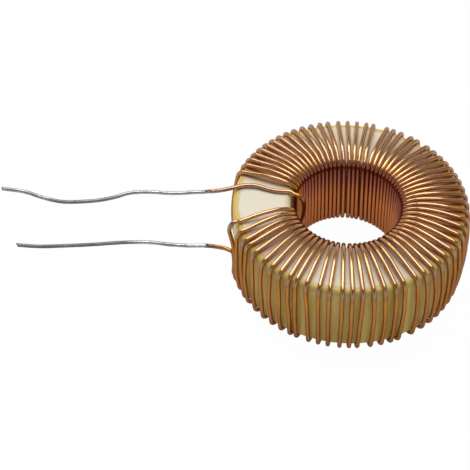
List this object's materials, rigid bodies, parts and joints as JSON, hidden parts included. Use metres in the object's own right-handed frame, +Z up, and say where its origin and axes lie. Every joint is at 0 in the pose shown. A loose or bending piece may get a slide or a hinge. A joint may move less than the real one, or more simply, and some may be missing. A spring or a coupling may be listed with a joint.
{
  "type": "toroidal inductor",
  "caption": "Toroidal choke: a painted powder ring wound with one layer of enamelled copper wire, with two bare tinned leads that leave to one side for soldering.",
  "frame": {"origin": "on the ring's axis, in the plane that the lowest turns rest on", "axes": "+Z up along the ring's axis; both leads leave towards -X; +Y completes a right-handed frame"},
  "size_m": [0.0693, 0.0354, 0.0138],
  "materials": {
    "painted_core": "satin paint, greenish white on the top face, yellow to khaki over the rim and outer wall",
    "enamelled_copper": "glossy clear enamel over copper",
    "tinned_copper": "solder-dipped, bright and slightly uneven"
  },
  "bodies": {
    "root": {"core": "painted_core", "winding": "enamelled_copper", "tinned_end_upper": "tinned_copper", "tinned_end_lower": "tinned_copper"}
  },
  "joints": []
}
